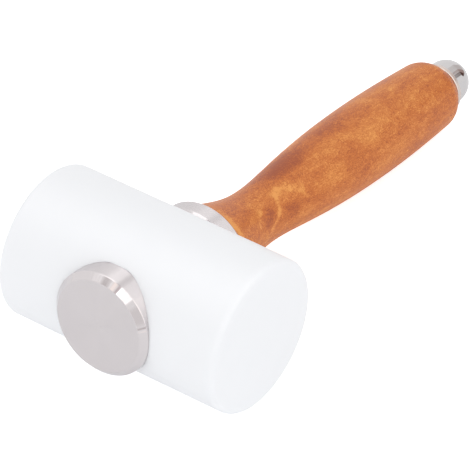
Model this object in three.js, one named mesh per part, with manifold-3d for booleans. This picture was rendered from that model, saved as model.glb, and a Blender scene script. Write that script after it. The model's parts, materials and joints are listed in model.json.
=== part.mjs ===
// A leather carving mallet: a round nylon head, a turned wooden handle, and one steel rod that
// clamps them together between a threaded front cap and a dome nut at the butt.
// Units are millimetres. The mallet lies on its side, with the head along X, the handle towards +Y
// and +Z up. Stations are distances along the rod from the head's axis, positive towards the butt.

import * as THREE from 'three';
import { mergeVertices } from 'three/addons/utils/BufferGeometryUtils.js';
import Module from 'manifold-3d';

// Head
const headDiameter = 50;
const headLength = 81;
const headEdgeRound = 2;

// Front cap and rear collar, each let into a flat seat in the side of the head
const capDiameter = 34.6;
const capChamfer = 2;
const capProud = 2.3;
const collarProud = 2;
const collarLipChamfer = 1.5;
const seatDepth = 7;
const capThreadDepth = 6.3;

// Handle
const handleLength = 127;
const handleRootDiameter = 30.1;
const neckDiameter = 19.2;
const neckStation = 25.2;
const swellDiameter = 26.3;
const swellStation = 84.7;
const shoulderDiameter = 23.9;
const buttRound = 7.8;
const buttFaceDiameter = 13.8;

// Bezier handles of the turned outline, along and across each stretch from one named place to the next
const flareShares = [[0.4, 0.41], [0.6, 0]];
const swellShares = [[0.21, 1], [0.42, 0]];
const taperShares = [[0.4, 1], [0.75, 0.425]];

// Tie rod and its threads
const rodDiameter = 8;
const rodEndChamfer = 0.8;
const rodEndPlay = 0.4;
const threadPitch = 1.25;
const threadRunout = 3.5;
const threadDepthShare = 0.6134;
const crestWidthShare = 0.125;
const flankAngle = THREE.MathUtils.degToRad(30);

// Butt washer, which hangs low on the rod
const washerDiameter = 17.2;
const washerHoleDiameter = 9.6;
const washerThickness = 1.6;
const washerDrop = 0.5;

// Dome nut
const nutDiameter = 15.2;
const nutSkirtLength = 3.5;
const nutMouthChamfer = 0.5;
const nutThreadDepth = 8.3;

// Clearances
const seatGap = 0.3;
const boreClearance = 0.3;
const threadClearance = 0.25;
const cutOverrun = 1;

// Smoothness of the round shapes
const headSides = 72;
const handleSides = 48;
const capSides = 48;
const nutSides = 32;
const boreSides = 32;
const threadSides = 16;
const edgeSteps = 2;
const stretchSteps = 6;
const domeSteps = 5;

// Radii and stations that follow from the sizes above
const headRadius = headDiameter / 2;
const capRadius = capDiameter / 2;
const rodRadius = rodDiameter / 2;
const boreRadius = rodRadius + boreClearance;
const nutRadius = nutDiameter / 2;
const seatStation = headRadius - seatDepth;
const capBackStation = seatStation + seatGap;
const capThickness = headRadius + capProud - capBackStation;
const collarThickness = headRadius + collarProud - capBackStation;
const handleStation = capBackStation + collarThickness + seatGap;
const buttStation = handleStation + handleLength;
const washerStation = buttStation + seatGap;
const nutStation = washerStation + washerThickness + seatGap;
const rodFrontStation = -capBackStation - capThreadDepth + rodEndPlay;
const rodButtStation = nutStation + nutThreadDepth - rodEndPlay;

// Materials
const nylon = new THREE.MeshStandardMaterial({ color: 0xf6f7fa, roughness: 0.45, metalness: 0 });
const turnedSteel = new THREE.MeshStandardMaterial({ color: 0xd3cfd0, roughness: 0.3, metalness: 1 });
const lacqueredWood = new THREE.MeshStandardMaterial({ color: 0xcc7a50, roughness: 0.4, metalness: 0 });
const zincPlatedSteel = new THREE.MeshStandardMaterial({ color: 0xb9bcc0, roughness: 0.35, metalness: 1 });
const chromedSteel = new THREE.MeshStandardMaterial({ color: 0xd2d0cf, roughness: 0.12, metalness: 1 });

const wasm = await Module();
wasm.setup();

// Point of an outline: radius from the axis and height along it
function at(radius, height) {
  return new THREE.Vector2(radius, height);
}

// Solid of revolution about Y from an outline that climbs on its outer side
function turned(outline, sides, startAngle = 0) {
  return new THREE.LatheGeometry(outline, sides, startAngle);
}

// Closed solid with shared corners, ready to be cut or joined
function solidOf(geometry) {
  const bare = geometry.clone();
  bare.deleteAttribute('normal');
  bare.deleteAttribute('uv');
  const merged = mergeVertices(bare);
  const mesh = new wasm.Mesh({
    numProp: 3,
    vertProperties: new Float32Array(merged.attributes.position.array),
    triVerts: new Uint32Array(merged.index.array),
  });
  return new wasm.Manifold(mesh);
}

// Geometry of a solid after its cuts and joins
function geometryOf(solid) {
  const mesh = solid.getMesh();
  const geometry = new THREE.BufferGeometry();
  geometry.setAttribute('position', new THREE.BufferAttribute(mesh.vertProperties, 3));
  geometry.setIndex(new THREE.BufferAttribute(mesh.triVerts, 1));
  geometry.computeVertexNormals();
  return geometry;
}

// Plain round bar about Y between two heights
function bar(radius, low, high, sides) {
  return turned([at(0, low), at(radius, low), at(radius, high), at(0, high)], sides);
}

// Helical ridge about Y whose turns are counted from station zero, so mating threads line up.
// The origin is the station of the piece's own zero height.
function threadForm(origin, low, high, growth) {
  const crestRadius = rodRadius + growth;
  const rootDepth = threadPitch * threadDepthShare;
  const rootRadius = crestRadius - rootDepth;
  const crestHalf = threadPitch * crestWidthShare / 2;
  const rootHalf = crestHalf + rootDepth * Math.tan(flankAngle);
  const profile = [
    at(rootRadius, -rootHalf),
    at(crestRadius, -crestHalf),
    at(crestRadius, crestHalf),
    at(rootRadius, rootHalf),
  ];
  const firstTurn = Math.floor((origin + low) / threadPitch) - 2;
  const turns = Math.ceil((high - low) / threadPitch) + 4;
  const rows = turns * profile.length;
  const positions = [];
  for (let side = 0; side < threadSides; side += 1) {
    const angle = side / threadSides * 2 * Math.PI;
    for (let row = 0; row <= rows; row += 1) {
      const point = profile[row % profile.length];
      const turn = firstTurn + Math.floor(row / profile.length) + side / threadSides;
      const height = turn * threadPitch + point.y - origin;
      positions.push(point.x * Math.sin(angle), height, point.x * Math.cos(angle));
    }
  }
  const vertexAt = (side, row) => {
    const wraps = side === threadSides;
    return (wraps ? 0 : side * (rows + 1)) + row + (wraps ? profile.length : 0);
  };
  const indices = [];
  const lastRow = rows - profile.length;
  for (let side = 0; side < threadSides; side += 1) {
    for (let row = 0; row < lastRow; row += 1) {
      const low0 = vertexAt(side, row);
      const low1 = vertexAt(side + 1, row);
      const high0 = vertexAt(side, row + 1);
      const high1 = vertexAt(side + 1, row + 1);
      indices.push(low0, low1, high1, low0, high1, high0);
    }
  }
  for (const [row, flip] of [[0, true], [lastRow, false]]) {
    const centre = positions.length / 3;
    positions.push(0, (firstTurn + row / profile.length + 1 / 2) * threadPitch - origin, 0);
    const rim = [];
    for (let side = 0; side < threadSides; side += 1) {
      rim.push(vertexAt(side, row));
    }
    for (let step = profile.length; step > 0; step -= 1) {
      rim.push(vertexAt(0, row + step));
    }
    rim.forEach((corner, place) => {
      const next = rim[(place + 1) % rim.length];
      indices.push(...(flip ? [centre, next, corner] : [centre, corner, next]));
    });
  }
  const geometry = new THREE.BufferGeometry();
  geometry.setAttribute('position', new THREE.Float32BufferAttribute(positions, 3));
  geometry.setIndex(indices);
  const zone = bar(crestRadius + cutOverrun, low, high, boreSides);
  return solidOf(geometry).intersect(solidOf(zone));
}

// Nylon head: a round-edged cylinder with a seat on each side and a bore across for the rod
function headGeometry(startAngle) {
  const half = headLength / 2;
  const outline = new THREE.Path();
  outline.moveTo(0, -half);
  outline.lineTo(headRadius - headEdgeRound, -half);
  outline.absarc(headRadius - headEdgeRound, headEdgeRound - half, headEdgeRound, -Math.PI / 2, 0);
  outline.lineTo(headRadius, half - headEdgeRound);
  outline.absarc(headRadius - headEdgeRound, half - headEdgeRound, headEdgeRound, 0, Math.PI / 2);
  outline.lineTo(0, half);
  const cylinder = turned(outline.getPoints(edgeSteps), headSides, startAngle);
  cylinder.rotateZ(-Math.PI / 2);
  const seatRadius = capRadius + seatGap;
  const reach = headRadius + cutOverrun;
  const cutter = turned([
    at(0, -reach),
    at(seatRadius, -reach),
    at(seatRadius, -seatStation),
    at(boreRadius, -seatStation),
    at(boreRadius, seatStation),
    at(seatRadius, seatStation),
    at(seatRadius, reach),
    at(0, reach),
  ], capSides);
  return geometryOf(solidOf(cylinder).subtract(solidOf(cutter)));
}

// Front cap: a chamfered steel disc with a blind tapped hole in its back
function frontCapGeometry() {
  const disc = turned([
    at(0, -capThickness),
    at(capRadius - capChamfer, -capThickness),
    at(capRadius, capChamfer - capThickness),
    at(capRadius, 0),
    at(0, 0),
  ], capSides);
  const thread = threadForm(-capBackStation, -capThreadDepth, cutOverrun, threadClearance);
  return geometryOf(solidOf(disc).subtract(thread));
}

// Rear collar: the cap's twin, chamfered at both ends, with a plain bore for the rod
function rearCollarGeometry() {
  return turned([
    at(boreRadius, 0),
    at(capRadius - collarLipChamfer, 0),
    at(capRadius, collarLipChamfer),
    at(capRadius, collarThickness - capChamfer),
    at(capRadius - capChamfer, collarThickness),
    at(boreRadius, collarThickness),
    at(boreRadius, 0),
  ], capSides);
}

// Outer outline of the handle, from its root at the collar to the flat at the butt
function handleOutline() {
  const places = [
    [0, handleRootDiameter / 2],
    [neckStation, neckDiameter / 2],
    [swellStation, swellDiameter / 2],
  ];
  const shoulderRadius = shoulderDiameter / 2;
  const roundDrop = shoulderRadius - buttFaceDiameter / 2;
  const roundLength = Math.sqrt(buttRound ** 2 - (buttRound - roundDrop) ** 2);
  places.push([handleLength - roundLength, shoulderRadius]);
  const outline = new THREE.Path();
  outline.moveTo(places[0][1], 0);
  [flareShares, swellShares, taperShares].forEach((shares, stretch) => {
    const [startHeight, startRadius] = places[stretch];
    const [endHeight, endRadius] = places[stretch + 1];
    const [first, second] = shares.map(([along, across]) => at(
      endRadius + (startRadius - endRadius) * across,
      startHeight + (endHeight - startHeight) * along,
    ));
    outline.bezierCurveTo(first.x, first.y, second.x, second.y, endRadius, endHeight);
  });
  const roundAngle = Math.asin(roundLength / buttRound);
  outline.absarc(shoulderRadius - buttRound, handleLength - roundLength, buttRound, 0, roundAngle);
  return outline.getPoints(stretchSteps);
}

// Handle: the turned outline round a bore for the rod
function handleGeometry() {
  return turned([
    at(boreRadius, 0),
    ...handleOutline(),
    at(boreRadius, handleLength),
    at(boreRadius, 0),
  ], handleSides);
}

// Tie rod: a bar with chamfered ends and a thread cut on each end
function tieRodGeometry() {
  const blank = turned([
    at(0, rodFrontStation),
    at(rodRadius - rodEndChamfer, rodFrontStation),
    at(rodRadius, rodFrontStation + rodEndChamfer),
    at(rodRadius, rodButtStation - rodEndChamfer),
    at(rodRadius - rodEndChamfer, rodButtStation),
    at(0, rodButtStation),
  ], threadSides);
  const threads = [
    [rodFrontStation - cutOverrun, threadRunout - capBackStation],
    [buttStation - threadRunout, rodButtStation + cutOverrun],
  ];
  let rod = solidOf(blank);
  for (const [low, high] of threads) {
    const sleeve = solidOf(bar(rodRadius + cutOverrun, low, high, boreSides));
    rod = rod.subtract(sleeve.subtract(threadForm(0, low, high, 0)));
  }
  return geometryOf(rod);
}

// Butt washer: a plain ring
function buttWasherGeometry() {
  const holeRadius = washerHoleDiameter / 2;
  return turned([
    at(holeRadius, 0),
    at(washerDiameter / 2, 0),
    at(washerDiameter / 2, washerThickness),
    at(holeRadius, washerThickness),
    at(holeRadius, 0),
  ], nutSides);
}

// Outer outline of the dome nut, from its mouth to its tip
function domeNutOutline() {
  const outline = new THREE.Path();
  outline.moveTo(0, 0);
  outline.lineTo(nutRadius - nutMouthChamfer, 0);
  outline.lineTo(nutRadius, nutMouthChamfer);
  outline.lineTo(nutRadius, nutSkirtLength);
  outline.absarc(0, nutSkirtLength, nutRadius, 0, Math.PI / 2);
  const points = outline.getPoints(domeSteps);
  points.at(-1).x = 0;
  return points;
}

// Dome nut: a short skirt under a half sphere, with a blind tapped hole
function domeNutGeometry() {
  const dome = turned(domeNutOutline(), nutSides);
  const thread = threadForm(nutStation, -cutOverrun, nutThreadDepth, threadClearance);
  return geometryOf(solidOf(dome).subtract(thread));
}

// Angle by which the rod dips towards the butt when the mallet lies on its head and handle
function restTilt() {
  const stations = [
    ...handleOutline().map((point) => [point.x, handleStation + point.y]),
    ...domeNutOutline().map((point) => [point.x, nutStation + point.y]),
  ];
  const tilts = stations.map(([radius, station]) => (
    Math.asin(headRadius / Math.hypot(station, radius)) - Math.atan2(radius, station)
  ));
  return Math.min(...tilts);
}

// Named piece at its station along the rod
function piece(name, geometry, material, station) {
  const mesh = new THREE.Mesh(geometry, material);
  mesh.name = name;
  mesh.position.y = station;
  return mesh;
}

const tilt = restTilt();
const buttWasher = piece('butt_washer', buttWasherGeometry(), zincPlatedSteel, washerStation);
buttWasher.position.z = -washerDrop;

const assembly = new THREE.Group();
assembly.rotation.x = -tilt;
assembly.add(
  piece('head', headGeometry(tilt), nylon, 0),
  piece('front_cap', frontCapGeometry(), turnedSteel, -capBackStation),
  piece('rear_collar', rearCollarGeometry(), turnedSteel, capBackStation),
  piece('handle', handleGeometry(), lacqueredWood, handleStation),
  piece('tie_rod', tieRodGeometry(), zincPlatedSteel, 0),
  buttWasher,
  piece('dome_nut', domeNutGeometry(), chromedSteel, nutStation),
);

// The origin is on the surface that the mallet lies on, under the middle of its box
const mallet = new THREE.Group();
mallet.add(assembly);
const box = new THREE.Box3().setFromObject(mallet, true);
const middle = box.getCenter(new THREE.Vector3());
assembly.position.set(-middle.x, -middle.y, -box.min.z);

export default mallet;
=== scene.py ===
"""Looks of a leather carving mallet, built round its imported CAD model.

The mallet lies on its head and on the shoulder of its handle. Every piece is made in the rod's own
frame: its origin is in the middle of the head, Z runs along the rod towards the butt, and Y is up.
A station is a distance along Z, and an angle round the rod is counted from +X of the model upwards.
"""

import cmath
import json
import math

import bpy
import numpy as np
from bpy.props import FloatProperty, FloatVectorProperty, PointerProperty
from mathutils import Matrix, Vector


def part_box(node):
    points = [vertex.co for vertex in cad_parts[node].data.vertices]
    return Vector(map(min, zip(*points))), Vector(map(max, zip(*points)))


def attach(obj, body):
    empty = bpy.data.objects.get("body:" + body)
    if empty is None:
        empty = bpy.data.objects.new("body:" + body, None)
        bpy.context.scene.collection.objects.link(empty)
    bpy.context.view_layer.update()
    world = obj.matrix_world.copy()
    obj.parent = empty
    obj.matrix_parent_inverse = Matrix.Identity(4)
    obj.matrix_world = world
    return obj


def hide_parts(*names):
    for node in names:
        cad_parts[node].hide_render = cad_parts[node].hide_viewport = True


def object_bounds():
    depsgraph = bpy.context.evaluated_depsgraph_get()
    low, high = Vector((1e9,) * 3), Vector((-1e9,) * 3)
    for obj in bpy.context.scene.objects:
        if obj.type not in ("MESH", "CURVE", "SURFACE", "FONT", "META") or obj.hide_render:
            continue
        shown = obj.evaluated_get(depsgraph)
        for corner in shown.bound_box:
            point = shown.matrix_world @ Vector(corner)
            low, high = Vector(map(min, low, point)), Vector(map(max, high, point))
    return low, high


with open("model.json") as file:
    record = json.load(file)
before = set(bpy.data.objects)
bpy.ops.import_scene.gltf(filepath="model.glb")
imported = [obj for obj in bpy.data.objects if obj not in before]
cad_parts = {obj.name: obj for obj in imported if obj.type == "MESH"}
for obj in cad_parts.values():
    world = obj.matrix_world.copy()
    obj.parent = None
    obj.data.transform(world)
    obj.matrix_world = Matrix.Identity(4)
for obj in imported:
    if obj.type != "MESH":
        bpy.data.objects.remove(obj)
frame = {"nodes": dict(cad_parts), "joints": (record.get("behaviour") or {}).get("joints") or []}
CAD_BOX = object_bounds()

bl_info = {
    "name": "Leather carving mallet",
    "version": (1, 0, 0),
    "blender": (4, 5, 0),
    "location": "3D View > Sidebar > Mallet",
    "description": "Builds a nylon-headed mallet with a lacquered handle, and a studio round it",
    "category": "Add Mesh",
}

MM = 0.001
WHITE = (1.0, 1.0, 1.0, 1.0)

# Mesh attributes that the materials read: a point's place on its piece, and how solid a card is there
OWN_PLACE = "own_place"
CARD_SHADE = "card_shade"

# Angle in degrees between two faces from which their edge is hard, and radius below which a ring of
# mesh is one point
HARD_EDGE = 28
POINT_RADIUS = 1e-9

# A standard screw thread: its depth and the flat of its crest as shares of its pitch, the lean of its
# flanks in degrees, the part of a turn by which it starts early, and rings of mesh in each turn of it
THREAD_DEPTH_SHARE = 0.6134
THREAD_CREST_SHARE = 1 / 8
THREAD_LEAN = 30
THREAD_LEAD = 0.25
THREAD_ROWS = 12


# Places taken from the CAD model


def rod_frame():
    """Matrix of the rod's own frame in the model."""
    joint = next(joint for joint in frame["joints"] if joint["name"] == "nut_turn")
    along = Vector(joint["axis"]).normalized()
    low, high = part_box("head")
    left = Vector((-1, 0, 0))
    up = along.cross(left)
    turn = Matrix((left, up, along)).transposed().to_4x4()
    return Matrix.Translation((low + high) / 2) @ turn


ROD = rod_frame()


def reach(node):
    """Lowest station, highest station and largest radius of a CAD node."""
    to_rod = ROD.inverted()
    spots = [to_rod @ vertex.co for vertex in frame["nodes"][node].data.vertices]
    stations = [spot.z for spot in spots]
    return min(stations), max(stations), max(spot.xy.length for spot in spots)


CAP_FRONT, CAP_BACK, CAP_RADIUS = reach("front_cap")
COLLAR_BACK, COLLAR_FRONT, COLLAR_RADIUS = reach("rear_collar")
HANDLE_START, HANDLE_END, _ = reach("handle")
ROD_START, ROD_END, ROD_RADIUS = reach("tie_rod")
WASHER_START, WASHER_END, _ = reach("butt_washer")
NUT_START, NUT_TIP, NUT_RADIUS = reach("dome_nut")
HEAD_LOW, HEAD_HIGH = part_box("head")


def on_rod(station, angle, radius):
    """Point at a station, at an angle in degrees round the rod, all lengths in millimetres."""
    turn = math.radians(angle)
    return Vector((-radius * math.cos(turn), radius * math.sin(turn), station))


# Sizes, colours and studio settings that a user would change


def length(name, description, default):
    """Length property, given in millimetres."""
    return FloatProperty(
        name=name, description=description, default=default * MM, min=0.0, unit="LENGTH", precision=5
    )


def colour(name, description, code):
    """Colour property, given as an sRGB hex value."""
    shares = linear(code)[:3]
    return FloatVectorProperty(
        name=name, description=description, default=shares, size=3, min=0.0, max=1.0, subtype="COLOR"
    )


def degrees(name, description, default):
    """Angle property, given in degrees."""
    return FloatProperty(
        name=name, description=description, default=math.radians(default), subtype="ANGLE"
    )


def linear(code):
    """Linear RGBA of an sRGB hex value such as '#DBD5D6'."""
    shares = [int(code[start:start + 2], 16) / 255 for start in (1, 3, 5)]
    return tuple(
        share / 12.92 if share <= 0.04045 else ((share + 0.055) / 1.055) ** 2.4 for share in shares
    ) + (1.0,)


class MalletSizes(bpy.types.PropertyGroup):
    """Sizes of the mallet's pieces that the CAD model doesn't fix by its box."""

    head_round: length("Head edge", "Radius of the rounded edge at each striking face", 2.0)
    cap_chamfer: length("Disc chamfer", "Chamfer round the open face of the cap and the collar", 2.0)
    lip_chamfer: length("Lip chamfer", "Chamfer of the collar on the side of the head", 1.5)
    edge_break: length("Edge break", "Radius left where two turned steel faces meet", 0.35)
    fit_gap: length("Fit gap", "Gap left between pieces that are clamped together", 0.03)
    root_diameter: length("Root diameter", "Handle diameter at the collar", 30.1)
    neck_diameter: length("Neck diameter", "Handle diameter at its narrowest place", 19.2)
    neck_place: length("Neck place", "Distance from the root of the handle to its neck", 25.2)
    swell_diameter: length("Swell diameter", "Handle diameter where it fills the hand", 26.3)
    swell_place: length("Swell place", "Distance from the root of the handle to its swell", 84.7)
    shoulder_diameter: length("Shoulder diameter", "Handle diameter where the butt starts to round", 23.9)
    butt_round: length("Butt round", "Radius of the rounded butt", 7.8)
    butt_face: length("Butt face", "Diameter of the flat that the washer sits on", 13.8)
    bore: length("Bore", "Diameter of the hole for the rod", 8.6)
    thread_pitch: length("Thread pitch", "Advance of the nut for each turn", 1.25)
    thread_gap: length("Thread gap", "Radial clearance between the rod's thread and the nut's", 0.1)
    thread_length: length("Thread depth", "Depth of the tapped hole in the nut", 8.3)
    cap_thread: length("Cap thread", "Depth of the tapped hole in the cap", 6.3)
    washer_diameter: length("Washer diameter", "Outer diameter of the butt washer", 17.2)
    washer_hole: length("Washer hole", "Diameter of the hole in the butt washer", 9.6)
    washer_drop: length("Washer drop", "Distance that the loose washer hangs below the rod's axis", 0.5)
    nut_skirt: length("Nut skirt", "Length of the straight part of the dome nut", 3.5)


class MalletColours(bpy.types.PropertyGroup):
    """Colours of the mallet's finishes."""

    nylon: colour("Nylon", "Natural white nylon", "#F4F5F8")
    steel: colour("Steel", "Turned stainless steel", "#DBD5D6")
    chrome: colour("Chrome", "Chrome plate", "#D0CDCD")
    zinc: colour("Zinc", "Bright zinc plate", "#DACDC6")
    wood_light: colour("Light wood", "Where the stain took least", "#EB9F54")
    wood_middle: colour("Middle wood", "Usual tone of the stained wood", "#CC7336")
    wood_dark: colour("Dark wood", "Where the stain soaked in most", "#A45331")


class MalletStudio(bpy.types.PropertyGroup):
    """Camera and light of the studio."""

    azimuth: degrees("Azimuth", "Camera angle round the mallet", 35.967)
    elevation: degrees("Elevation", "Camera angle above the floor", 37.554)
    roll: degrees("Roll", "Turn of the camera about its view", 0.623)
    distance: length("Distance", "From the camera to the plane through the middle of the head", 1150.0)
    aim_right: length("Aim right", "Sideways distance from the head to the middle of the view", 24.577)
    aim_up: length("Aim up", "Upward distance from the head to the middle of the view", 15.827)
    lens: FloatProperty(
        name="Lens", description="Focal length on a sensor 36 mm wide", default=292.12, unit="CAMERA"
    )
    sky: FloatProperty(
        name="Soft light", description="Strength of the even light from all sides", default=0.925, min=0.0
    )
    lamp_share: FloatProperty(
        name="Lamps", description="Strength of all softboxes together", default=0.45, min=0.0
    )
    floor: colour("Floor", "Pale floor under the mallet", "#F4F5F6")


# Mesh making


def rounded(corners, steps=4):
    """Outline through corners of (radius, station, rounding), each rounded off by its own amount.

    A point just before and just after each rounding keeps the shading of the straight stretches flat.
    """
    places = [complex(radius, station) for radius, station, _ in corners]
    points = []
    for index, (corner, (_, _, rounding)) in enumerate(zip(places, corners)):
        if not rounding:
            points.append((corner.real, corner.imag))
            continue
        before = places[index - 1] - corner
        after = places[index + 1] - corner
        before /= abs(before)
        after /= abs(after)
        half = abs(cmath.phase(after / before)) / 2
        middle = corner + (before + after) / abs(before + after) * rounding / math.sin(half)
        start = corner + before * rounding / math.tan(half) - middle
        end = corner + after * rounding / math.tan(half) - middle
        turn = cmath.phase(end / start)
        arc = [middle + start * cmath.exp(1j * turn * step / steps) for step in range(steps + 1)]
        guard = rounding / 5
        for point in (arc[0] + before * guard, *arc, arc[-1] + after * guard):
            points.append((point.real, point.imag))
    return points


def bezier(start, first, second, end, steps):
    """Points of a cubic curve, without its start."""
    points = []
    for step in range(1, steps + 1):
        share = step / steps
        rest = 1 - share
        weights = (rest ** 3, 3 * rest ** 2 * share, 3 * rest * share ** 2, share ** 3)
        pulls = list(zip(weights, (start, first, second, end)))
        points.append(tuple(sum(weight * corner[axis] for weight, corner in pulls) for axis in (0, 1)))
    return points


def turned_mesh(name, rings, sides, closed=False):
    """Mesh turned about Z from rings of (radius, station).

    The rings climb on the outer side. A radius may be an array with one radius for each side, and a
    radius of zero makes one point.
    """
    angles = np.arange(sides) * 2 * math.pi / sides
    cosines, sines = np.cos(angles), np.sin(angles)
    corners = []
    rows = []
    for radius, station in rings:
        first = len(corners)
        if np.ndim(radius) == 0 and radius < POINT_RADIUS:
            corners.append((0.0, 0.0, station))
            rows.append([first] * sides)
            continue
        radii = np.broadcast_to(radius, sides)
        corners.extend(zip(radii * cosines, radii * sines, [station] * sides))
        rows.append(range(first, first + sides))
    pairs = list(zip(rows, rows[1:]))
    if closed:
        pairs.append((rows[-1], rows[0]))
    faces = []
    for low, high in pairs:
        for side in range(sides):
            after = (side + 1) % sides
            loop = (low[side], low[after], high[after], high[side])
            faces.append(list(dict.fromkeys(loop)))
    mesh = bpy.data.meshes.new(name)
    mesh.from_pydata(corners, [], faces)
    mesh.validate()
    return mesh


def smooth(mesh):
    """Smooth shading, with a hard edge wherever two faces meet at more than the limit."""
    mesh.polygons.foreach_set("use_smooth", [True] * len(mesh.polygons))
    mesh.set_sharp_from_angle(angle=math.radians(HARD_EDGE))


def place(mesh, matrix, material, body, node):
    """Object of a finished mesh, riding on its body in place of its CAD node.

    The mesh moves into the model's frame, and keeps each point's place in its own frame, in
    millimetres, for the patterns of its material.
    """
    own_place = mesh.attributes.new(OWN_PLACE, "FLOAT_VECTOR", "POINT")
    corners = np.zeros(len(mesh.vertices) * 3, np.float32)
    mesh.vertices.foreach_get("co", corners)
    own_place.data.foreach_set("vector", corners / MM)
    mesh.transform(matrix)
    smooth(mesh)
    mesh.materials.append(material)
    piece = bpy.data.objects.new(mesh.name, mesh)
    bpy.context.scene.collection.objects.link(piece)
    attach(piece, body)
    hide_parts(node)
    return piece


def thread_radius(station, sides, crest, pitch):
    """Radius of a standard screw thread at each side, at one station."""
    turns = np.arange(sides) / sides - THREAD_LEAD
    from_crest = np.abs((station / pitch - turns + 0.5) % 1.0 - 0.5) * pitch
    flank = (from_crest - pitch * THREAD_CREST_SHARE / 2) / math.tan(math.radians(THREAD_LEAN))
    return crest - np.clip(flank, 0.0, THREAD_DEPTH_SHARE * pitch)


def thread_rings(start, end, sides, crest, pitch, limit=None):
    """Rings of a thread between two stations, kept within a limit of radius where one is given."""
    count = max(2, round(abs(end - start) / pitch * THREAD_ROWS))
    rings = []
    for row in range(count + 1):
        station = start + (end - start) * row / count
        radii = thread_radius(station, sides, crest, pitch)
        if limit:
            radii = limit(radii, station)
        rings.append((radii, station))
    return rings


# Material making


def add(tree, kind, inputs=(), **settings):
    """Adds a node with its settings. Inputs map a socket to a value, or to the output linked to it."""
    made = tree.nodes.new(kind)
    for name, value in settings.items():
        setattr(made, name, value)
    for socket, value in dict(inputs).items():
        if isinstance(value, bpy.types.NodeSocket):
            tree.links.new(value, made.inputs[socket])
        else:
            made.inputs[socket].default_value = value
    return made


def blank_material(name):
    """Empty node material and its tree."""
    material = bpy.data.materials.new(name)
    material.use_nodes = True
    material.node_tree.nodes.clear()
    return material, material.node_tree


def lathe_feed(tree, parts):
    """How far a lathe's tool has come at a place on the piece, out from its axis and along it."""
    flat = add(tree, "ShaderNodeCombineXYZ", {0: parts.outputs[0], 1: parts.outputs[1]})
    across = add(tree, "ShaderNodeVectorMath", {0: flat.outputs[0]}, operation="LENGTH")
    both = add(tree, "ShaderNodeMath", {0: across.outputs["Value"], 1: parts.outputs[2]}, operation="ADD")
    return both.outputs[0]


def nylon_material(base):
    """Cast nylon 6, turned from bar: milky white and satin, with light that soaks in a few millimetres.

    The lathe leaves rings 0.2 mm apart, too fine to show, so they are drawn 0.9 mm apart and shallow.
    Its gloss and its white waver over 8 mm, as cast nylon does.
    """
    material, tree = blank_material("turned_cast_nylon")
    ring_gap = 0.9
    spot = add(tree, "ShaderNodeAttribute", attribute_name=OWN_PLACE).outputs["Vector"]
    parts = add(tree, "ShaderNodeSeparateXYZ", {0: spot})
    lathe = add(
        tree,
        "ShaderNodeMath",
        {0: lathe_feed(tree, parts), 1: 2 * math.pi / ring_gap},
        operation="MULTIPLY",
    )
    wave = add(tree, "ShaderNodeMath", {0: lathe.outputs[0]}, operation="SINE")
    haze = add(
        tree, "ShaderNodeTexNoise", {"Vector": spot, "Scale": 0.12, "Detail": 3.0, "Roughness": 0.55}
    )
    shine = add(
        tree,
        "ShaderNodeMapRange",
        {"Value": haze.outputs["Fac"], "From Min": 0.3, "From Max": 0.7, "To Min": 0.4, "To Max": 0.5},
    )
    tint = add(
        tree,
        "ShaderNodeMix",
        {0: haze.outputs["Fac"], 6: (*base, 1.0), 7: (*[share * 0.985 for share in base], 1.0)},
        data_type="RGBA",
    )
    relief = add(
        tree, "ShaderNodeBump", {"Height": wave.outputs[0], "Strength": 0.05, "Distance": 0.02 * MM}
    )
    shader = add(
        tree,
        "ShaderNodeBsdfPrincipled",
        {
            "Base Color": tint.outputs[2],
            "Roughness": shine.outputs[0],
            "IOR": 1.53,
            "Subsurface Weight": 0.2,
            "Subsurface Radius": (1.0, 1.0, 1.0),
            "Subsurface Scale": 2.5 * MM,
            "Normal": relief.outputs[0],
        },
    )
    add(tree, "ShaderNodeOutputMaterial", {"Surface": shader.outputs[0]})
    return material


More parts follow.
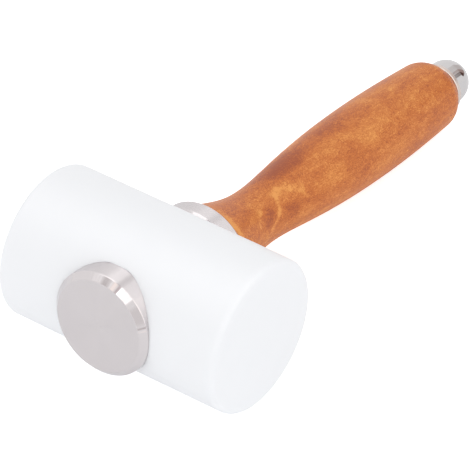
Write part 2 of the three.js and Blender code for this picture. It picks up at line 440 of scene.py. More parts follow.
def turned_steel_material(base):
    """Stainless steel turned on a lathe: satin faces whose fine rings spread each light into a fan.

    The feed marks are 0.1 mm apart, too fine to show, so they are drawn 0.45 mm apart. The chamfers and
    the edges beside them are cut last with a keen tool, so they mirror the lamps more sharply.
    """
    material, tree = blank_material("turned_stainless_steel")
    ring_gap = 0.45
    spot = add(tree, "ShaderNodeAttribute", attribute_name=OWN_PLACE).outputs["Vector"]
    parts = add(tree, "ShaderNodeSeparateXYZ", {0: spot})
    feed = add(
        tree,
        "ShaderNodeTexNoise",
        {"W": lathe_feed(tree, parts), "Scale": 1 / ring_gap, "Detail": 2.0, "Roughness": 0.6},
        noise_dimensions="1D",
    )

    # The bevel is zero on a face and on a side, and large on a chamfer between them
    facing = add(tree, "ShaderNodeTexCoord")
    along = ROD.col[2].xyz
    lean = add(
        tree, "ShaderNodeVectorMath", {0: facing.outputs["Normal"], 1: along}, operation="DOT_PRODUCT"
    )
    slope = add(tree, "ShaderNodeMath", {0: lean.outputs["Value"]}, operation="ABSOLUTE")
    rest = add(tree, "ShaderNodeMath", {0: 1.0, 1: slope.outputs[0]}, operation="SUBTRACT")
    bevel = add(tree, "ShaderNodeMath", {0: slope.outputs[0], 1: rest.outputs[0]}, operation="MULTIPLY")
    shine = add(
        tree,
        "ShaderNodeMapRange",
        {"Value": bevel.outputs[0], "From Min": 0.05, "From Max": 0.18, "To Min": 0.27, "To Max": 0.1},
    )
    tint = add(
        tree,
        "ShaderNodeMix",
        {0: feed.outputs["Fac"], 6: (*[share * 0.94 for share in base], 1.0), 7: (*base, 1.0)},
        data_type="RGBA",
    )
    relief = add(
        tree, "ShaderNodeBump", {"Height": feed.outputs["Fac"], "Strength": 0.12, "Distance": 0.01 * MM}
    )

    # The rings run around the rod, square to the direction outward from it
    sideways, upwards = (
        add(
            tree,
            "ShaderNodeVectorMath",
            {0: ROD.col[axis].xyz, "Scale": parts.outputs[axis]},
            operation="SCALE",
        )
        for axis in (0, 1)
    )
    outward = add(
        tree, "ShaderNodeVectorMath", {0: sideways.outputs[0], 1: upwards.outputs[0]}, operation="ADD"
    )
    around = add(
        tree, "ShaderNodeVectorMath", {0: along, 1: outward.outputs[0]}, operation="CROSS_PRODUCT"
    )
    shader = add(
        tree,
        "ShaderNodeBsdfPrincipled",
        {
            "Base Color": tint.outputs[2],
            "Metallic": 1.0,
            "Roughness": shine.outputs[0],
            "Anisotropic": 1.0,
            "Anisotropic Rotation": 0.25,
            "Tangent": around.outputs[0],
            "Normal": relief.outputs[0],
        },
    )
    add(tree, "ShaderNodeOutputMaterial", {"Surface": shader.outputs[0]})
    return material


def plated_material(name, base, roughness, mottle, relief_height):
    """Plated steel: a bright coat over metal, whose gloss and unevenness depend on the plating.

    Its cloudiness is 2 mm wide, and mottle is the share by which it changes the roughness. The grit under
    the plate is too fine to show, so it is drawn 0.4 mm wide. Its height is in millimetres.
    """
    material, tree = blank_material(name)
    spot = add(tree, "ShaderNodeAttribute", attribute_name=OWN_PLACE).outputs["Vector"]
    cloud = add(tree, "ShaderNodeTexNoise", {"Vector": spot, "Scale": 0.5, "Detail": 3.0, "Roughness": 0.6})
    grit = add(tree, "ShaderNodeTexNoise", {"Vector": spot, "Scale": 2.5, "Detail": 2.0})
    dull = [share * (1 - mottle / 8) for share in base]
    shine = add(
        tree,
        "ShaderNodeMapRange",
        {
            "Value": cloud.outputs["Fac"],
            "From Min": 0.3,
            "From Max": 0.7,
            "To Min": roughness * (1 - mottle),
            "To Max": roughness * (1 + mottle),
        },
    )
    tint = add(
        tree,
        "ShaderNodeMix",
        {0: cloud.outputs["Fac"], 6: (*dull, 1.0), 7: (*base, 1.0)},
        data_type="RGBA",
    )
    relief = add(
        tree,
        "ShaderNodeBump",
        {"Height": grit.outputs["Fac"], "Strength": 0.1, "Distance": relief_height * MM},
    )
    shader = add(
        tree,
        "ShaderNodeBsdfPrincipled",
        {
            "Base Color": tint.outputs[2],
            "Metallic": 1.0,
            "Roughness": shine.outputs[0],
            "Normal": relief.outputs[0],
        },
    )
    add(tree, "ShaderNodeOutputMaterial", {"Surface": shader.outputs[0]})
    return material


# Clouds in the wood's figure, each as station, angle, radius on the handle, half size across, half size
# along in millimetres, and how far it lightens the wood, or darkens it where it is negative. A cloud
# starts at the share of its half size called edge, and is full inside the share called core.
CLOUD_EDGE = 1.6
CLOUD_CORE = 0.2
CLOUDS = (
    (56.4, 62, 9.7, 1.8, 2.4, 0.26),
    (57.5, 58, 9.8, 3.4, 4.4, 0.14),
    (45.4, 53, 10.0, 1.6, 1.5, 0.26),
    (50.2, 44, 9.7, 2.2, 1.8, -0.16),
    (47.4, 34, 9.8, 3.4, 3.2, -0.28),
    (59.4, 25, 9.9, 2.4, 3.0, -0.24),
    (64.5, 4, 10.4, 2.4, 3.4, 0.26),
    (36.0, 80, 12.0, 4.0, 5.0, -0.12),
    (29.0, 62, 14.5, 5.0, 1.5, 0.36),
    (28.6, 40, 14.6, 4.5, 1.4, 0.3),
    (68.0, 104, 10.6, 5.5, 11.0, -0.42),
    (90.0, 104, 12.6, 5.0, 14.0, -0.2),
    (102.4, 46, 13.1, 2.4, 6.0, 0.22),
    (110.0, 58, 13.0, 2.6, 5.0, 0.12),
    (78.0, 30, 11.6, 2.6, 7.0, 0.1),
    (126.0, 50, 12.6, 7.0, 14.0, 0.05),
    (91.0, 8, 12.8, 3.2, 12.0, -0.04),
)

# Veins that wind round the eyes of the figure: half width in millimetres, how far each lightens the
# wood, and the places that it passes, each as station, angle and radius on the handle.
VEINS = (
    (1.6, 0.36, ((57.6, 66, 9.8), (60.4, 63, 10.0), (63.1, 54, 10.2), (66.2, 42, 10.6), (66.7, 30, 10.6))),
    (1.3, 0.42, ((55.4, 58, 9.6), (54.4, 44, 9.6), (53.9, 31, 9.6), (52.1, 20, 9.6), (48.8, 10, 9.8))),
    (1.3, 0.26, ((45.2, 50, 10.0), (42.9, 42, 10.4), (41.8, 30, 10.5))),
)


def clouded(tree, spot, tone):
    """Tone of the wood with the clouds of its figure added."""
    for station, angle, radius, across, along, strength in CLOUDS:
        off = add(
            tree,
            "ShaderNodeVectorMath",
            {0: spot, 1: on_rod(station, angle, radius)},
            operation="SUBTRACT",
        )
        scaled = add(
            tree,
            "ShaderNodeVectorMath",
            {0: off.outputs[0], 1: (across, across, along)},
            operation="DIVIDE",
        )
        away = add(tree, "ShaderNodeVectorMath", {0: scaled.outputs[0]}, operation="LENGTH")
        mark = add(
            tree,
            "ShaderNodeMapRange",
            {
                "Value": away.outputs["Value"],
                "From Min": CLOUD_EDGE,
                "From Max": CLOUD_CORE,
                "To Min": 0.0,
                "To Max": strength,
            },
            interpolation_type="SMOOTHSTEP",
        )
        tone = add(tree, "ShaderNodeMath", {0: tone, 1: mark.outputs[0]}, operation="ADD").outputs[0]
    return tone


def veined(tree, spot, tone):
    """Tone of the wood with the veins of its figure added."""
    for width, strength, stops in VEINS:
        bends = [on_rod(*stop) for stop in stops]
        nearest = None
        for start, end in zip(bends, bends[1:]):
            span = end - start
            off = add(tree, "ShaderNodeVectorMath", {0: spot, 1: start}, operation="SUBTRACT")
            along_it = add(
                tree,
                "ShaderNodeVectorMath",
                {0: off.outputs[0], 1: span / span.length_squared},
                operation="DOT_PRODUCT",
            )
            share = add(tree, "ShaderNodeClamp", {"Value": along_it.outputs["Value"]})
            foot = add(
                tree, "ShaderNodeVectorMath", {0: span, "Scale": share.outputs[0]}, operation="SCALE"
            )
            away = add(
                tree,
                "ShaderNodeVectorMath",
                {0: off.outputs[0], 1: foot.outputs[0]},
                operation="DISTANCE",
            )
            gap = away.outputs["Value"]
            if nearest is not None:
                gap = add(tree, "ShaderNodeMath", {0: gap, 1: nearest}, operation="MINIMUM").outputs[0]
            nearest = gap
        band = add(
            tree,
            "ShaderNodeMapRange",
            {"Value": nearest, "From Min": width, "From Max": 0.0, "To Min": 0.0, "To Max": strength},
            interpolation_type="SMOOTHSTEP",
        )
        tone = add(tree, "ShaderNodeMath", {0: tone, 1: band.outputs[0]}, operation="ADD").outputs[0]
    return tone


def wood_material(light, middle, dark):
    """Close-grained hardwood, turned, stained red-brown and lacquered with a satin coat.

    The stain soaks in unevenly: soft patches 11 mm wide and 25 mm long, mottle 2.4 mm wide, curly flecks
    0.6 mm wide, faint growth rings, and eyes where the grain dives round a bud. The pores are 0.1 mm
    wide, too fine to show, so they are drawn 0.3 mm wide and 2 mm long.
    """
    material, tree = blank_material("stained_lacquered_hardwood")
    spot = add(tree, "ShaderNodeAttribute", attribute_name=OWN_PLACE).outputs["Vector"]

    # How far the grain and the edges of the figure waver, in millimetres
    grain_waver, figure_waver = 7.0, 3.5
    warp = add(tree, "ShaderNodeTexNoise", {"Vector": spot, "Scale": 0.11, "Detail": 2.0})
    centred = add(
        tree,
        "ShaderNodeVectorMath",
        {0: warp.outputs["Color"], 1: (0.5, 0.5, 0.5)},
        operation="SUBTRACT",
    )
    pushed = add(
        tree, "ShaderNodeVectorMath", {0: centred.outputs[0], "Scale": grain_waver}, operation="SCALE"
    )
    grain = add(tree, "ShaderNodeVectorMath", {0: spot, 1: pushed.outputs[0]}, operation="ADD")

    # Faint growth rings about a pith 27 mm beside the middle of the handle, which widen a little along it
    ring_gap, ring_strength = 4.2, 0.035
    pith_offset, cone = (17.0, 21.0, 0.0), (1.0, 1.0, 0.04)
    leaned = add(
        tree, "ShaderNodeVectorMath", {0: grain.outputs[0], 1: pith_offset}, operation="ADD"
    )
    flat = add(tree, "ShaderNodeVectorMath", {0: leaned.outputs[0], 1: cone}, operation="MULTIPLY")
    from_pith = add(tree, "ShaderNodeVectorMath", {0: flat.outputs[0]}, operation="LENGTH")
    ring_turn = add(
        tree,
        "ShaderNodeMath",
        {0: from_pith.outputs["Value"], 1: 2 * math.pi / ring_gap},
        operation="MULTIPLY",
    )
    rings = add(tree, "ShaderNodeMath", {0: ring_turn.outputs[0]}, operation="SINE")

    # Patches and mottle are drawn out along the handle, and pores still more
    drawn_out = add(
        tree, "ShaderNodeVectorMath", {0: spot, 1: (1.0, 1.0, 0.45)}, operation="MULTIPLY"
    )
    patches = add(
        tree,
        "ShaderNodeTexNoise",
        {"Vector": drawn_out.outputs[0], "Scale": 0.09, "Detail": 3.0, "Roughness": 0.55},
    )
    mottle = add(
        tree,
        "ShaderNodeTexNoise",
        {"Vector": drawn_out.outputs[0], "Scale": 0.42, "Detail": 3.0, "Distortion": 0.8},
    )
    curl = add(
        tree,
        "ShaderNodeTexNoise",
        {"Vector": grain.outputs[0], "Scale": 1.7, "Detail": 2.0, "Roughness": 0.6, "Distortion": 2.0},
    )
    pores_spot = add(tree, "ShaderNodeVectorMath", {0: spot, 1: (3.2, 3.2, 0.5)}, operation="MULTIPLY")
    pores = add(tree, "ShaderNodeTexNoise", {"Vector": pores_spot.outputs[0], "Scale": 1.0, "Detail": 2.0})

    # The tone runs from 0, the darkest wood, through 0.5, the usual, to 1, the lightest
    tone = 0.5
    for source, amount in (
        (patches.outputs["Fac"], 0.8),
        (mottle.outputs["Fac"], 0.7),
        (curl.outputs["Fac"], 1.9),
        (pores.outputs["Fac"], 0.5),
    ):
        part = add(tree, "ShaderNodeMath", {0: source, 1: 0.5}, operation="SUBTRACT")
        joined = add(
            tree,
            "ShaderNodeMath",
            {0: part.outputs[0], 1: amount, 2: tone},
            operation="MULTIPLY_ADD",
        )
        tone = joined.outputs[0]
    ringed = add(
        tree,
        "ShaderNodeMath",
        {0: rings.outputs[0], 1: ring_strength, 2: tone},
        operation="MULTIPLY_ADD",
    )

    soft_edge = add(
        tree, "ShaderNodeVectorMath", {0: centred.outputs[0], "Scale": figure_waver}, operation="SCALE"
    )
    figure = add(tree, "ShaderNodeVectorMath", {0: spot, 1: soft_edge.outputs[0]}, operation="ADD")
    tone = clouded(tree, figure.outputs[0], ringed.outputs[0])
    tone = veined(tree, figure.outputs[0], tone)

    stain = add(tree, "ShaderNodeValToRGB", {0: tone})
    stain.color_ramp.interpolation = "EASE"
    stops = stain.color_ramp.elements
    stops[0].position = 0.0
    stops[0].color = (*dark, 1.0)
    stops[1].position = 1.0
    stops[1].color = (*light, 1.0)
    stops.new(0.5).color = (*middle, 1.0)

    height = add(
        tree, "ShaderNodeMath", {0: pores.outputs["Fac"], 1: curl.outputs["Fac"]}, operation="ADD"
    )
    relief = add(
        tree, "ShaderNodeBump", {"Height": height.outputs[0], "Strength": 0.15, "Distance": 0.03 * MM}
    )
    shine = add(
        tree,
        "ShaderNodeMapRange",
        {"Value": mottle.outputs["Fac"], "From Min": 0.3, "From Max": 0.7, "To Min": 0.42, "To Max": 0.55},
    )
    shader = add(
        tree,
        "ShaderNodeBsdfPrincipled",
        {
            "Base Color": stain.outputs[0],
            "Roughness": shine.outputs[0],
            "IOR": 1.5,
            "Specular IOR Level": 0.1,
            "Coat Weight": 0.3,
            "Coat Roughness": 0.25,
            "Normal": relief.outputs[0],
        },
    )
    add(tree, "ShaderNodeOutputMaterial", {"Surface": shader.outputs[0]})
    return material


def floor_material(base):
    """Matt pale studio floor, lit a little from below, whose tone wavers over 50 mm. Where it is lit it
    reads as white to the camera, and it keeps the mallet's soft shadow."""
    material, tree = blank_material("matt_studio_floor")
    glow_from_below, glow_to_camera = 0.12, 0.6
    ray = add(tree, "ShaderNodeLightPath")
    seen = add(
        tree,
        "ShaderNodeMath",
        {0: ray.outputs["Is Camera Ray"], 1: ray.outputs["Is Transmission Ray"]},
        operation="MAXIMUM",
    )
    lift = add(
        tree,
        "ShaderNodeMath",
        {0: seen.outputs[0], 1: glow_to_camera, 2: glow_from_below},
        operation="MULTIPLY_ADD",
    )
    spot = add(tree, "ShaderNodeTexCoord")
    grain = add(
        tree, "ShaderNodeTexNoise", {"Vector": spot.outputs["Object"], "Scale": 20.0, "Detail": 2.0}
    )
    tint = add(
        tree,
        "ShaderNodeMix",
        {0: grain.outputs["Fac"], 6: (*base, 1.0), 7: (*[share * 0.98 for share in base], 1.0)},
        data_type="RGBA",
    )
    matt = add(tree, "ShaderNodeBsdfDiffuse", {"Color": tint.outputs[2]})
    glow = add(tree, "ShaderNodeEmission", {"Color": WHITE, "Strength": lift.outputs[0]})
    both = add(tree, "ShaderNodeAddShader", {0: matt.outputs[0], 1: glow.outputs[0]})
    add(tree, "ShaderNodeOutputMaterial", {"Surface": both.outputs[0]})
    return material


def card_material(name, code, radiance):
    """Evenly lit cloth or diffuser of a studio card, whose tone polished metal mirrors. It thins out to
    clear gauze where its shade attribute falls to zero."""
    material, tree = blank_material(name)
    shade = add(tree, "ShaderNodeAttribute", attribute_name=CARD_SHADE)
    clear = add(tree, "ShaderNodeBsdfTransparent")
    lit = add(tree, "ShaderNodeEmission", {"Color": linear(code), "Strength": radiance})
    shader = add(
        tree,
        "ShaderNodeMixShader",
        {0: shade.outputs["Fac"], 1: clear.outputs[0], 2: lit.outputs[0]},
    )
    add(tree, "ShaderNodeOutputMaterial", {"Surface": shader.outputs[0]})
    return material


# Pieces


class MALLET_OT_head(bpy.types.Operator):
    """Make the round nylon head with its seats and its bore"""

    bl_idname = "mallet.head"
    bl_label = "Nylon head"

    def execute(self, context):
        sizes, colours = context.scene.mallet_sizes, context.scene.mallet_colours
        half = (HEAD_HIGH.x - HEAD_LOW.x) / 2
        radius = (HEAD_HIGH.z - HEAD_LOW.z) / 2
        edge = sizes.head_round
        outline = rounded(
            [(0, -half, 0), (radius, -half, edge), (radius, half, edge), (0, half, 0)], steps=10
        )
        mesh = turned_mesh("nylon_head", outline, sides=256)
        across = Matrix(((0, 0, 1), (1, 0, 0), (0, 1, 0))).to_4x4()
        matrix = Matrix.Translation((HEAD_LOW + HEAD_HIGH) / 2) @ across

        # The cutter has both seats and the bore, and sticks out past the head on both sides
        seat = CAP_RADIUS + sizes.fit_gap
        bore = sizes.bore / 2
        front_seat = CAP_BACK + sizes.fit_gap
        rear_seat = COLLAR_BACK - sizes.fit_gap
        past = radius * 1.2
        outline = [
            (0, -past), (seat, -past), (seat, front_seat), (bore, front_seat),
            (bore, rear_seat), (seat, rear_seat), (seat, past), (0, past),
        ]
        cutter = bpy.data.objects.new("seat_cutter", turned_mesh("seat_cutter", outline, sides=192))
        blank = bpy.data.objects.new("head_blank", mesh)
        for thing, where in ((cutter, ROD), (blank, matrix)):
            context.scene.collection.objects.link(thing)
            thing.matrix_world = where
        cut = blank.modifiers.new("seats_and_bore", "BOOLEAN")
        cut.operation = "DIFFERENCE"
        cut.solver = "EXACT"
        cut.object = cutter
        context.view_layer.update()
        finished = bpy.data.meshes.new_from_object(blank.evaluated_get(context.evaluated_depsgraph_get()))
        if len(finished.polygons) <= len(mesh.polygons):
            raise RuntimeError("the seats were not cut into the head")
        for thing in (cutter, blank):
            old = thing.data
            bpy.data.objects.remove(thing)
            bpy.data.meshes.remove(old)
        finished.name = "nylon_head"
        place(finished, matrix, nylon_material(colours.nylon), "mallet", "head")
        return {"FINISHED"}


class MALLET_OT_discs(bpy.types.Operator):
    """Make the front cap and the rear collar, twin discs of turned steel"""

    bl_idname = "mallet.discs"
    bl_label = "Front cap and rear collar"

    def execute(self, context):
        sizes, colours = context.scene.mallet_sizes, context.scene.mallet_colours
        steel = turned_steel_material(colours.steel)
        chamfer, lip, edge = sizes.cap_chamfer, sizes.lip_chamfer, sizes.edge_break
        sides = 192
        pitch = sizes.thread_pitch
        crest = ROD_RADIUS + sizes.thread_gap
        cap = rounded(
            [
                (0, CAP_FRONT, 0),
                (CAP_RADIUS - chamfer, CAP_FRONT, edge),
                (CAP_RADIUS, CAP_FRONT + chamfer, edge),
                (CAP_RADIUS, CAP_BACK, edge),
                (crest + edge, CAP_BACK, 0),
            ]
        )
        bottom = CAP_BACK - sizes.cap_thread
        cap += thread_rings(CAP_BACK - edge, bottom, sides, crest, pitch)
        cap.append((0, bottom))
        place(
            turned_mesh("front_cap_disc", cap, sides), ROD, steel, "mallet", "front_cap"
        )
        bore = sizes.bore / 2
        collar = rounded(
            [
                (bore, COLLAR_BACK, 0),
                (COLLAR_RADIUS - lip, COLLAR_BACK, edge),
                (COLLAR_RADIUS, COLLAR_BACK + lip, edge),
                (COLLAR_RADIUS, COLLAR_FRONT - chamfer, edge),
                (COLLAR_RADIUS - chamfer, COLLAR_FRONT, edge),
                (bore, COLLAR_FRONT, 0),
            ]
        )
        place(
            turned_mesh("rear_collar_disc", collar, sides, closed=True),
            ROD, steel, "mallet", "rear_collar",
        )
        return {"FINISHED"}


# Curve handles of the turned outline: shares along and across each stretch of the handle. Then come
# the steps of mesh in each stretch and round the butt.
HANDLE_STRETCHES = (((0.4, 0.41), (0.6, 0.0)), ((0.21, 1.0), (0.42, 0.0)), ((0.4, 1.0), (0.75, 0.425)))
STRETCH_STEPS = 36
BUTT_STEPS = 16


class MALLET_OT_handle(bpy.types.Operator):
    """Make the turned wooden handle with its long bore"""

    bl_idname = "mallet.handle"
    bl_label = "Wooden handle"

    def execute(self, context):
        sizes, colours = context.scene.mallet_sizes, context.scene.mallet_colours
        start = COLLAR_FRONT + sizes.fit_gap
        end = WASHER_START - sizes.fit_gap
        shoulder = sizes.shoulder_diameter / 2
        drop = shoulder - sizes.butt_face / 2
        run = math.sqrt(sizes.butt_round ** 2 - (sizes.butt_round - drop) ** 2)
        places = [
            (sizes.root_diameter / 2, start),
            (sizes.neck_diameter / 2, HANDLE_START + sizes.neck_place),
            (sizes.swell_diameter / 2, HANDLE_START + sizes.swell_place),
            (shoulder, HANDLE_END - run),
        ]
        outline = [places[0]]
        for (low, high), shares in zip(zip(places, places[1:]), HANDLE_STRETCHES):
            first, second = (
                (high[0] + (low[0] - high[0]) * across, low[1] + (high[1] - low[1]) * along)
                for along, across in shares
            )
            outline += bezier(low, first, second, high, STRETCH_STEPS)
        turn = math.asin(run / sizes.butt_round)
        for step in range(1, BUTT_STEPS + 1):
            angle = turn * step / BUTT_STEPS
            outline.append((
                shoulder - sizes.butt_round * (1 - math.cos(angle)),
                HANDLE_END - run + sizes.butt_round * math.sin(angle),
            ))

        # The butt goes on to the washer with a small bevel, where the CAD model leaves a gap
        bevel = 0.3 * MM
        outline.append((outline[-1][0] - bevel, end))
        bore = sizes.bore / 2
        rings = [(bore, start), *outline, (bore, end)]
        mesh = turned_mesh("turned_handle", rings, sides=192, closed=True)
        wood = wood_material(colours.wood_light, colours.wood_middle, colours.wood_dark)
        place(mesh, ROD, wood, "mallet", "handle")
        return {"FINISHED"}


class MALLET_OT_rod(bpy.types.Operator):
    """Make the tie rod with a screw thread on each end"""

    bl_idname = "mallet.rod"
    bl_label = "Tie rod"

    def execute(self, context):
        sizes, colours = context.scene.mallet_sizes, context.scene.mallet_colours
        sides, pitch = 96, sizes.thread_pitch
        chamfer = 0.8 * MM

        # Each thread goes on this far inside the head or the handle
        hidden_thread = 3.5 * MM
        front_end = CAP_BACK + hidden_thread
        butt_start = HANDLE_END - hidden_thread

        def limit(radii, station):
            end = min(station - ROD_START, ROD_END - station)
            kept = np.minimum(radii, ROD_RADIUS - max(0.0, chamfer - end))
            inner = min(abs(station - front_end), abs(station - butt_start))
            runs_out = np.clip(1 - inner / pitch, 0, 1)
            return kept + (ROD_RADIUS - kept) * runs_out

        rings = [(0, ROD_START)]
        rings += thread_rings(ROD_START, front_end, sides, ROD_RADIUS, pitch, limit)
        rings += thread_rings(butt_start, ROD_END, sides, ROD_RADIUS, pitch, limit)
        rings.append((0, ROD_END))
        mesh = turned_mesh("threaded_tie_rod", rings, sides)
        zinc = plated_material(
            "bright_zinc_plated_steel", colours.zinc, roughness=0.3, mottle=0.35, relief_height=0.02
        )
        place(mesh, ROD, zinc, "mallet", "tie_rod")
        return {"FINISHED"}


class MALLET_OT_washer(bpy.types.Operator):
    """Make the stamped washer between the butt and the nut"""

    bl_idname = "mallet.washer"
    bl_label = "Butt washer"

    def execute(self, context):
        sizes, colours = context.scene.mallet_sizes, context.scene.mallet_colours
        hole, outer = sizes.washer_hole / 2, sizes.washer_diameter / 2

        # Stamping rolls one outer edge, and rounds the other and one edge of the hole a little
        rolled_edge, sharp_edge, hole_edge = 0.45 * MM, 0.15 * MM, 0.2 * MM
        outline = rounded(
            [
                (hole, WASHER_START, 0),
                (outer, WASHER_START, rolled_edge),
                (outer, WASHER_END, sharp_edge),
                (hole, WASHER_END, hole_edge),
                (hole, WASHER_START + hole_edge, 0),
            ],
            steps=5,
        )
        mesh = turned_mesh("stamped_washer", outline, sides=128, closed=True)
        zinc = bpy.data.materials.get("bright_zinc_plated_steel")
        if zinc is None:
            raise RuntimeError("make the tie rod first, whose finish the washer shares")
        matrix = ROD @ Matrix.Translation((0, -sizes.washer_drop, 0))
        place(mesh, matrix, zinc, "washer", "butt_washer")
        return {"FINISHED"}


class MALLET_OT_nut(bpy.types.Operator):
    """Make the dome nut with its blind tapped hole"""

    bl_idname = "mallet.nut"
    bl_label = "Dome nut"

    def execute(self, context):
        sizes, colours = context.scene.mallet_sizes, context.scene.mallet_colours
        sides, pitch = 128, sizes.thread_pitch
        base = WASHER_END + sizes.fit_gap
        middle = NUT_START + sizes.nut_skirt
        crest = ROD_RADIUS + sizes.thread_gap
        bottom = NUT_START + sizes.thread_length
        flare = 0.6 * MM

        # The dome's tip stays this far inside the box of the CAD model
        inside = 0.02 * MM
        dome, dome_steps = NUT_TIP - middle - inside, 32

        def limit(radii, station):
            return np.maximum(radii, crest + flare - (station - base) if station < base + flare else 0)

        # A rounded edge at the base, and the skirt, whose ends have a second ring to keep its shading flat
        edge = 0.5 * MM
        rings = [(0, bottom)]
        rings += thread_rings(bottom, base, sides, crest, pitch, limit)
        rings += [
            (NUT_RADIUS - edge, base),
            (NUT_RADIUS - 0.3 * edge, base + 0.28 * edge),
            (NUT_RADIUS, base + edge),
            (NUT_RADIUS, base + 1.2 * edge),
            (NUT_RADIUS, middle - 0.1 * edge),
            (NUT_RADIUS, middle),
        ]
        for step in range(1, dome_steps + 1):
            angle = math.pi / 2 * step / dome_steps
            rings.append((NUT_RADIUS * math.cos(angle), middle + dome * math.sin(angle)))
        mesh = turned_mesh("chromed_dome_nut", rings, sides)
        chrome = plated_material(
            "polished_chrome_plate", colours.chrome, roughness=0.07, mottle=0.2, relief_height=0.01
        )
        place(mesh, ROD, chrome, "nut", "dome_nut")
        return {"FINISHED"}


# Studio

# Lamps, each as name, direction from the mallet, distance, width and height in metres, and radiance
LAMPS = (
    ("softbox_key", (0.212, -0.668, 0.713), 1.0, 0.335, 0.3, 3.6),
    ("softbox_right", (0.95, -0.1, 0.3), 1.2, 0.5, 0.5, 1.2),
)

# Flat cards that only show in polished metal, each as name, station of the piece that mirrors it,
# direction from there, distance, corners in the card's own plane, share of its size over which its edge
# thins out, colour and radiance. All lengths are in millimetres. The panel hangs overhead, and the
# three flags darken and haze a patch of the dome nut.
FLAT_CARDS = (
    (
        "panel_overhead", 0, (0.15, 0.05, 0.99), 1200,
        ((-500, -1200), (500, -1200), (500, 1200), (-500, 1200)), 0.3, "#FFFFFF", 1.5,
    ),
    (
        "flag_behind", 160, (0.42, 0.80, 0.42), 300,
        ((-3, 16), (10, -22), (48, -105), (-17, -98), (-37, -61), (-38, -36), (-36, -22)),
        0.25, "#664D46", 1,
    ),
    (
        "flag_behind_high", 160, (0.42, 0.80, 0.42), 303,
        ((38, 44), (50, 38), (70, -14), (140, -150), (52, -115), (2, -12), (2, 10), (20, 28)),
        0.35, "#B5A09A", 1,
    ),
    (
        "flag_haze", 160, (0.42, 0.80, 0.42), 306,
        ((55, 46), (110, 74), (165, 86), (185, 50), (185, 0), (240, -130), (150, -140), (95, -60), (50, 5)),
        0.4, "#DDD7D5", 1,
    ),
)

# Curved cards of cloth, each hung where one stretch of turned steel looks as the camera sees it: name,
# station, radius, tilt of the surface away from the front of the cap, first and last angle round the
# rod, angle over which each end fades out, width, colour and radiance. Angles are in degrees and
# lengths in millimetres. Each card hangs at the same distance, in this number of even steps.
CURVED_CARD_DISTANCE = 200
CURVED_CARD_STEPS = 8
CURVED_CARDS = (
    ("panel_chamfer_low", -26.3, 16.3, 45, -6, 18, 1.5, 50, "#FFFAF8", 1.24),
    ("flag_chamfer_low", -26.3, 16.3, 45, 18.8, 22, 1.2, 50, "#D8D2D2", 1.0),
    ("flag_chamfer_right", -26.3, 16.3, 45, 22.3, 46, 5, 50, "#EDEBEB", 1.0),
    ("panel_chamfer_key", -26.3, 16.3, 45, 50, 67.6, 5, 50, "#FFFDFB", 1.6),
    ("flag_beside_key", -26.3, 16.3, 45, 67.4, 71.2, 0.8, 50, "#DCD2D2", 1.0),
    ("panel_chamfer_left", -26.3, 16.3, 45, 70.8, 78.5, 2.5, 50, "#FFF6F0", 1.3),
    ("flag_chamfer_left", -26.3, 16.3, 45, 78.5, 92, 5, 50, "#CBC7C6", 1.0),
    ("panel_chamfer_far", -26.3, 16.3, 45, 92, 105, 4, 50, "#FFFFFF", 1.09),
    ("panel_edge_right", -25.3, 17.2, 69, 24, 54, 5, 220, "#FFFDFA", 1.7),
    ("flag_edge", -25.3, 17.2, 67, 68, 76, 2, 240, "#CFCACC", 1.0),
    ("panel_edge_left", -25.3, 17.2, 67, 75, 92, 3, 240, "#FFFFFF", 1.7),
    ("panel_collar_lip", 19.05, 16.55, 45, 75, 94, 1.5, 60, "#FFFFFF", 1.5),
)

# Radii in metres of the rings of the round floor, and its number of sides
FLOOR_RINGS = (0.0, 0.25, 0.5, 1.0, 2.0, 4.0)
FLOOR_SIDES = 64


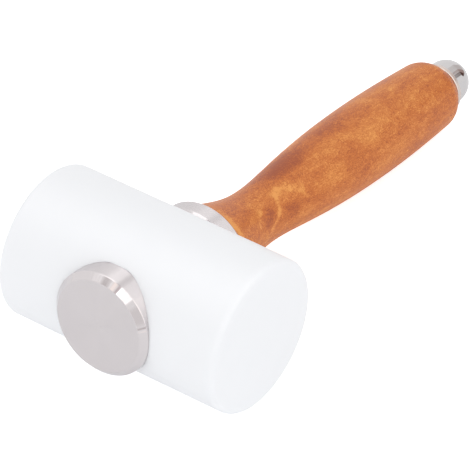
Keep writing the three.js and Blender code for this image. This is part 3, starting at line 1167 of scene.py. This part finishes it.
class MALLET_OT_studio(bpy.types.Operator):
    """Make the camera, the lamps, the cards and the floor"""

    bl_idname = "mallet.studio"
    bl_label = "Studio"

    def execute(self, context):
        studio = context.scene.mallet_studio
        scene = context.scene
        scene.view_settings.view_transform = "Standard"
        self.add_camera(scene, studio)
        self.add_sky(scene, studio)
        self.add_floor(scene, studio)
        for lamp in LAMPS:
            self.add_lamp(scene, studio, *lamp)
        for card in FLAT_CARDS:
            self.add_flat_card(scene, *card)
        for card in CURVED_CARDS:
            self.add_curved_card(scene, *card)
        return {"FINISHED"}

    def add_camera(self, scene, studio):
        azimuth, elevation = studio.azimuth, studio.elevation
        level = math.cos(elevation)
        back = Vector((math.sin(azimuth) * level, -math.cos(azimuth) * level, math.sin(elevation)))
        right = Vector((math.cos(azimuth), math.sin(azimuth), 0))
        up = back.cross(right)
        turned_right = right * math.cos(studio.roll) + up * math.sin(studio.roll)
        turned_up = up * math.cos(studio.roll) - right * math.sin(studio.roll)
        aim = ROD.translation + turned_right * studio.aim_right + turned_up * studio.aim_up
        view = bpy.data.cameras.new("studio_camera")
        view.lens = studio.lens
        view.sensor_width = 36
        view.clip_end = 20
        camera = bpy.data.objects.new("studio_camera", view)
        scene.collection.objects.link(camera)
        turn = Matrix((turned_right, turned_up, back)).transposed().to_4x4()
        camera.matrix_world = Matrix.Translation(aim + back * studio.distance) @ turn
        scene.camera = camera

    def add_sky(self, scene, studio):
        sky = bpy.data.worlds.new("even_white_room")
        sky.use_nodes = True
        tree = sky.node_tree
        tree.nodes.clear()
        ray = add(tree, "ShaderNodeLightPath")
        seen = add(
            tree,
            "ShaderNodeMath",
            {0: ray.outputs["Is Camera Ray"], 1: ray.outputs["Is Glossy Ray"]},
            operation="MAXIMUM",
        )
        through = add(
            tree,
            "ShaderNodeMath",
            {0: seen.outputs[0], 1: ray.outputs["Is Transmission Ray"]},
            operation="MAXIMUM",
        )
        strength = add(
            tree, "ShaderNodeMapRange", {"Value": through.outputs[0], "To Min": studio.sky, "To Max": 1.0}
        )
        light = add(tree, "ShaderNodeBackground", {"Color": WHITE, "Strength": strength.outputs[0]})
        add(tree, "ShaderNodeOutputWorld", {"Surface": light.outputs[0]})
        scene.world = sky

    def add_floor(self, scene, studio):
        rings = [(radius, 0.0) for radius in FLOOR_RINGS]
        mesh = turned_mesh("studio_floor", rings, FLOOR_SIDES)
        mesh.flip_normals()
        mesh.materials.append(floor_material(studio.floor))
        floor = bpy.data.objects.new("studio_floor", mesh)
        scene.collection.objects.link(floor)
        floor.location.z = CAD_BOX[0][2]

    def facing(self, base, direction, distance):
        """Matrix of a place at a distance from the base, whose Z points away from the base."""
        towards = Vector(direction).normalized()
        turn = towards.to_track_quat("Z", "Y").to_matrix().to_4x4()
        return Matrix.Translation(base + towards * distance) @ turn

    def add_lamp(self, scene, studio, name, direction, distance, width, height, radiance):
        light = bpy.data.lights.new(name, "AREA")
        light.shape = "RECTANGLE"
        light.size, light.size_y = width, height
        light.energy = radiance * math.pi * width * height * studio.lamp_share
        lamp = bpy.data.objects.new(name, light)
        scene.collection.objects.link(lamp)
        lamp.matrix_world = self.facing(ROD.translation, direction, distance)

    def add_flat_card(self, scene, name, station, direction, distance, corners, edge, code, radiance):
        inner = [Vector((across * MM, up * MM, 0)) for across, up in corners]
        middle = sum(inner, Vector()) / len(inner)
        outer = [corner + (corner - middle) * edge for corner in inner]
        count = len(inner)
        faces = [tuple(range(count))]
        for side in range(count):
            after = (side + 1) % count
            faces.append((side, after, after + count, side + count))
        shades = [1.0] * count + [0.0] * count
        card = self.add_card(scene, name, inner + outer, faces, shades, code, radiance)
        card.matrix_world = self.facing(ROD @ Vector((0, 0, station * MM)), direction, distance * MM)

    def add_curved_card(self, scene, name, station, radius, tilt, first, last, fade, width, code, radiance):
        eye = scene.camera.matrix_world.translation
        along = ROD.col[2].xyz
        lean = math.radians(tilt)
        angles = [first, *np.linspace(first + fade, last - fade, CURVED_CARD_STEPS + 1), last]
        hung = []
        for angle in angles:
            spot = ROD @ (on_rod(station, angle, radius) * MM)
            outward = (spot - ROD @ Vector((0, 0, station * MM))).normalized()
            facing = outward * math.sin(lean) - along * math.cos(lean)
            look = (spot - eye).normalized().reflect(facing)
            hung.append((spot + look * CURVED_CARD_DISTANCE * MM, look))
        sweep = hung[-1][0] - hung[0][0]
        corners = []
        for middle, look in hung:
            side = look.cross(sweep).normalized() * width / 2 * MM
            corners += [middle - side, middle + side]
        faces = [(low, low + 1, low + 3, low + 2) for low in range(0, len(corners) - 2, 2)]
        shades = [0.0, 0.0] + [1.0] * (len(corners) - 4) + [0.0, 0.0]
        self.add_card(scene, name, corners, faces, shades, code, radiance)

    def add_card(self, scene, name, corners, faces, shades, code, radiance):
        mesh = bpy.data.meshes.new(name)
        mesh.from_pydata(corners, [], faces)
        mesh.attributes.new(CARD_SHADE, "FLOAT", "POINT").data.foreach_set("value", shades)
        mesh.materials.append(card_material(name + "_face", code, radiance))
        card = bpy.data.objects.new(name, mesh)
        scene.collection.objects.link(card)
        card.visible_camera = False
        card.visible_diffuse = False
        card.visible_transmission = False
        card.visible_shadow = False
        return card


class MALLET_PT_panel(bpy.types.Panel):
    """Sidebar panel of the mallet"""

    bl_idname = "MALLET_PT_panel"
    bl_label = "Leather carving mallet"
    bl_space_type = "VIEW_3D"
    bl_region_type = "UI"
    bl_category = "Mallet"

    def draw(self, context):
        scene = context.scene
        for group in (scene.mallet_sizes, scene.mallet_colours, scene.mallet_studio):
            box = self.layout.box()
            for name in group.__annotations__:
                box.prop(group, name)
        for operator in OPERATORS:
            self.layout.operator(operator.bl_idname)


OPERATORS = (
    MALLET_OT_studio,
    MALLET_OT_head,
    MALLET_OT_discs,
    MALLET_OT_handle,
    MALLET_OT_rod,
    MALLET_OT_washer,
    MALLET_OT_nut,
)
CLASSES = (MalletSizes, MalletColours, MalletStudio, *OPERATORS, MALLET_PT_panel)


def register():
    for each in CLASSES:
        bpy.utils.register_class(each)
    bpy.types.Scene.mallet_sizes = PointerProperty(type=MalletSizes)
    bpy.types.Scene.mallet_colours = PointerProperty(type=MalletColours)
    bpy.types.Scene.mallet_studio = PointerProperty(type=MalletStudio)


def unregister():
    del bpy.types.Scene.mallet_studio
    del bpy.types.Scene.mallet_colours
    del bpy.types.Scene.mallet_sizes
    for each in reversed(CLASSES):
        bpy.utils.unregister_class(each)


def main():
    register()
    bpy.ops.mallet.studio()
    bpy.ops.mallet.head()
    bpy.ops.mallet.discs()
    bpy.ops.mallet.handle()
    bpy.ops.mallet.rod()
    bpy.ops.mallet.washer()
    bpy.ops.mallet.nut()
    bpy.context.view_layer.update()


if __name__ == "__main__":
    main()
